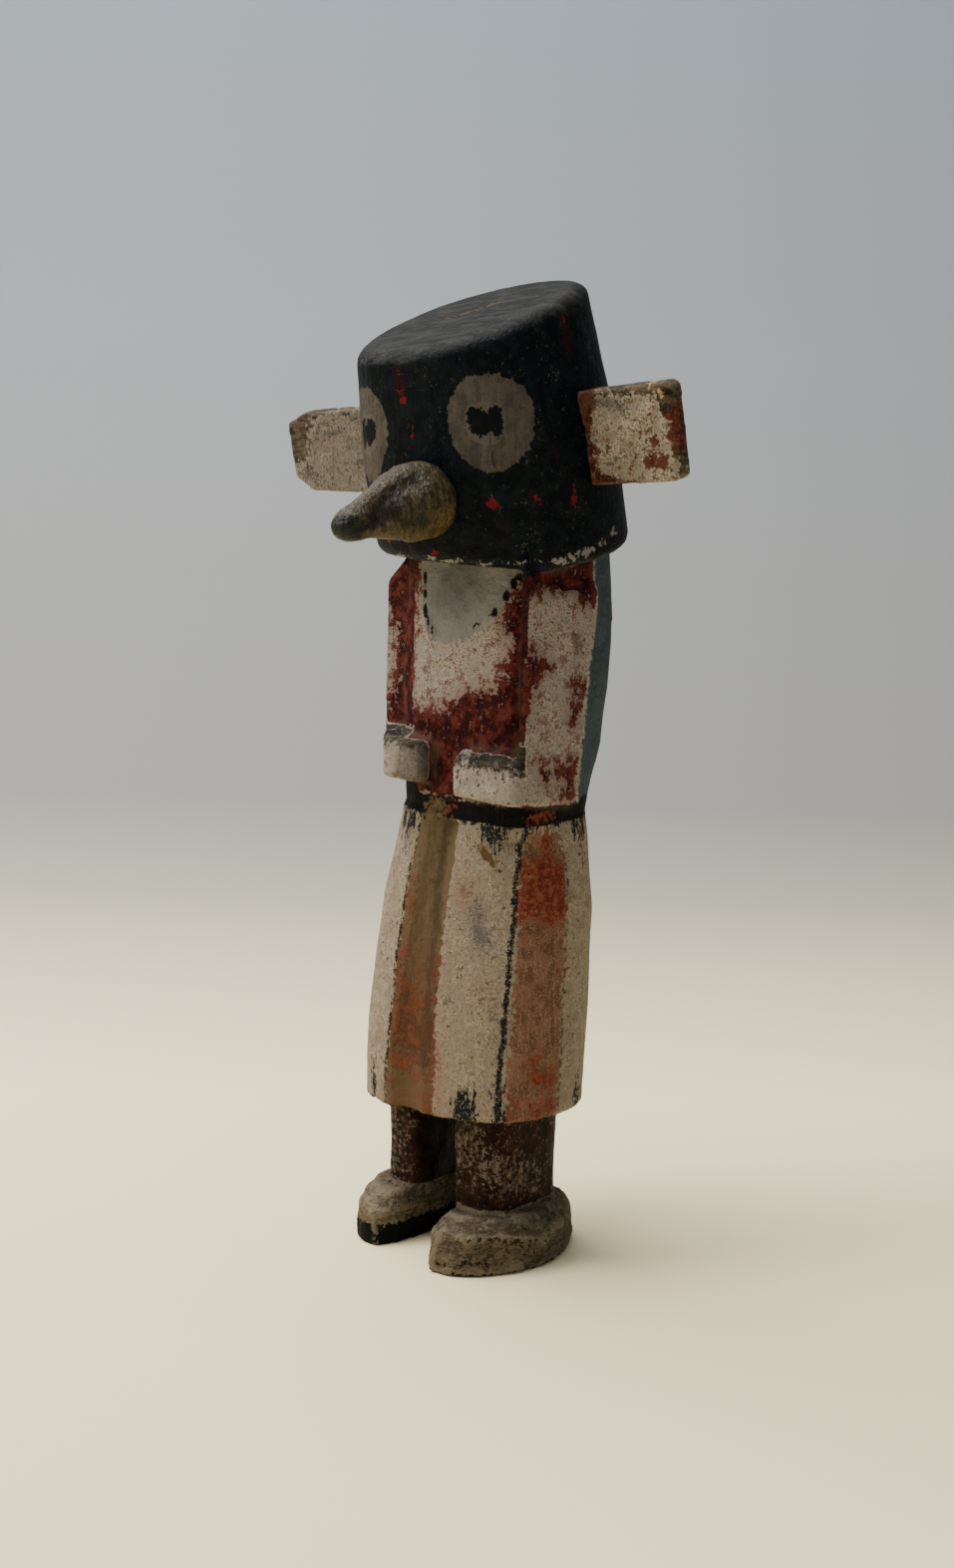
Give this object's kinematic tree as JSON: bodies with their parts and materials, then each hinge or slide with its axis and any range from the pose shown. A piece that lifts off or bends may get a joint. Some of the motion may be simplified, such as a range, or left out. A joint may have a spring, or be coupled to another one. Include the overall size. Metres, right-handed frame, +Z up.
{
  "type": "kachina doll",
  "caption": "Carved and painted wooden kachina doll, standing, with a black drum-shaped head, square tab ears, a blunt beak, hands on the belly and a striped kilt.",
  "frame": {"origin": "on the ground under the middle of the doll's box", "axes": "+Z up the doll, -Y the way it faces, +X towards its left hand"},
  "size_m": [0.1162, 0.0958, 0.2446],
  "materials": {
    "figure_paint": "matte, worn earth paint in white, black, dark red and orange on carved root wood",
    "beak_paint": "olive-ochre paint, slightly glossy, with a black tip",
    "ear_paint": "matte speckled white paint, red-brown at the edges"
  },
  "bodies": {
    "root": {"figure": "figure_paint", "beak": "beak_paint", "ear_left": "ear_paint", "ear_right": "ear_paint"}
  },
  "joints": []
}
